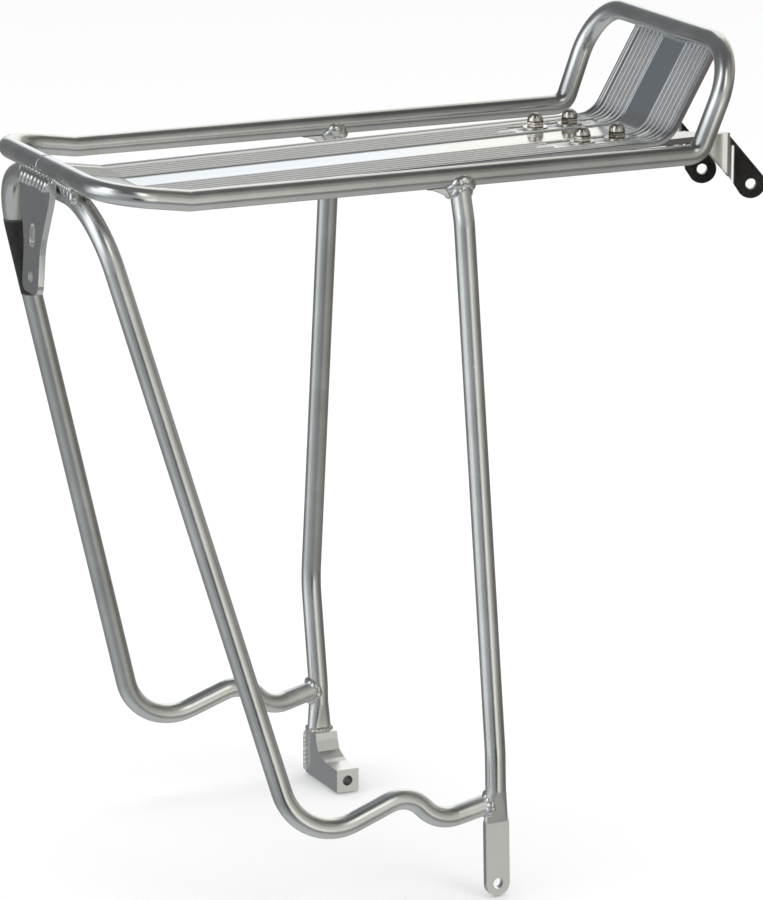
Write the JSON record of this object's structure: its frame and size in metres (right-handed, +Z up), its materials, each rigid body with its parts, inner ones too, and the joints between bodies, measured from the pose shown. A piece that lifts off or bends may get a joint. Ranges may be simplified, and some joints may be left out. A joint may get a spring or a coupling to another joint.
{
  "type": "rear rack",
  "caption": "Tubular bicycle rear rack: looped deck with raised front hoop, ribbed plate, splayed legs, brake-side spacer block, tail lamp plate and sliding front stays.",
  "frame": {"origin": "inner mouth of the left dropout bore, where the spacer block sits against the bicycle frame; the right dropout eyelet is on the same axis", "axes": "+X forward towards the saddle, +Y to the rider's left along the dropout axis, +Z up"},
  "size_m": [0.3757, 0.2236, 0.4033],
  "materials": {
    "tube": "satin",
    "plate": "ribbed satin, ribs and lips brighter",
    "block": "satin",
    "tail": "satin",
    "stay": "brushed",
    "fastener": "polished stainless",
    "band": "thin glossy film"
  },
  "bodies": {
    "frame": {"deck_loop": "tube", "deck_plate": "plate", "rear_leg_hoop": "tube", "right_front_leg": "tube", "left_front_leg": "tube", "left_dropout_block": "block", "tail_plate": "tail", "left_leg_band": "band", "right_gusset": "tube", "left_gusset": "tube"},
    "right_stay_set": {"right_stay": "stay", "right_rear_bolt": "fastener", "right_rear_washer": "fastener", "right_rear_nut": "fastener", "right_front_bolt": "fastener", "right_front_washer": "fastener", "right_front_nut": "fastener"},
    "left_stay_set": {"left_stay": "stay", "left_rear_bolt": "fastener", "left_rear_washer": "fastener", "left_rear_nut": "fastener", "left_front_bolt": "fastener", "left_front_washer": "fastener", "left_front_nut": "fastener"}
  },
  "joints": [
    {"name": "right_stay_slide", "type": "slide", "parent": "frame", "child": "right_stay_set", "axis": [0.9998, 0, 0.0191], "range_m": [-0.011, 0.0035]},
    {"name": "left_stay_slide", "type": "slide", "parent": "frame", "child": "left_stay_set", "axis": [0.9998, 0, 0.0191], "range_m": [-0.007, 0.008]}
  ]
}
